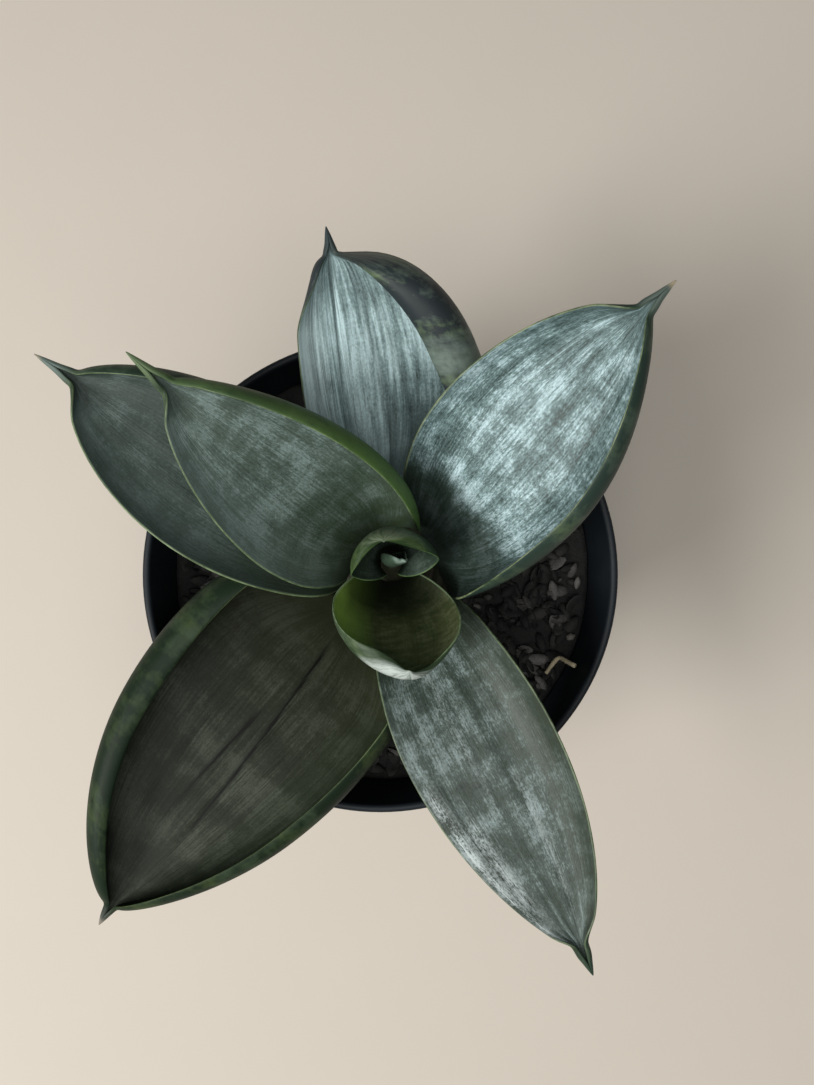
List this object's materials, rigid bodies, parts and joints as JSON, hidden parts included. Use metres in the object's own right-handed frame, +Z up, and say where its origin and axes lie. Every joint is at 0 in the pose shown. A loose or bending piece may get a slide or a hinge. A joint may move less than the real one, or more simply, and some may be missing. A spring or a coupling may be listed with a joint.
{
  "type": "potted snake plant",
  "caption": "Young rosette snake plant with broad silver-green leaves rolled in at their margins, in a round plastic nursery pot filled with dark potting mix.",
  "frame": {"origin": "centre of the underside of the pot's base", "axes": "+Z up along the pot's axis; +X towards the right and +Y towards the top of the picture, which looks straight down"},
  "size_m": [0.1459, 0.1806, 0.1633],
  "materials": {
    "pot_plastic": "semi-matt moulded black plastic",
    "mix": "loose dark husks and bark bits, dry on top",
    "straw": "dry pale straw",
    "rootstock": "firm olive-brown stem with leaf scars",
    "leaf": "waxy silver-green with fine lengthwise streaks, dark mottled green underside",
    "young_leaf": "waxy olive to bright green"
  },
  "bodies": {
    "root": {"pot": "pot_plastic", "potting_mix": "mix", "straw_bit": "straw", "crown": "rootstock", "leaf_south_west": "leaf", "leaf_south_east": "leaf", "leaf_west_outer": "leaf", "leaf_north": "leaf", "leaf_north_east": "leaf", "leaf_west_inner": "leaf", "leaf_cup": "young_leaf", "leaf_heart": "young_leaf", "leaf_spike": "young_leaf"}
  },
  "joints": []
}
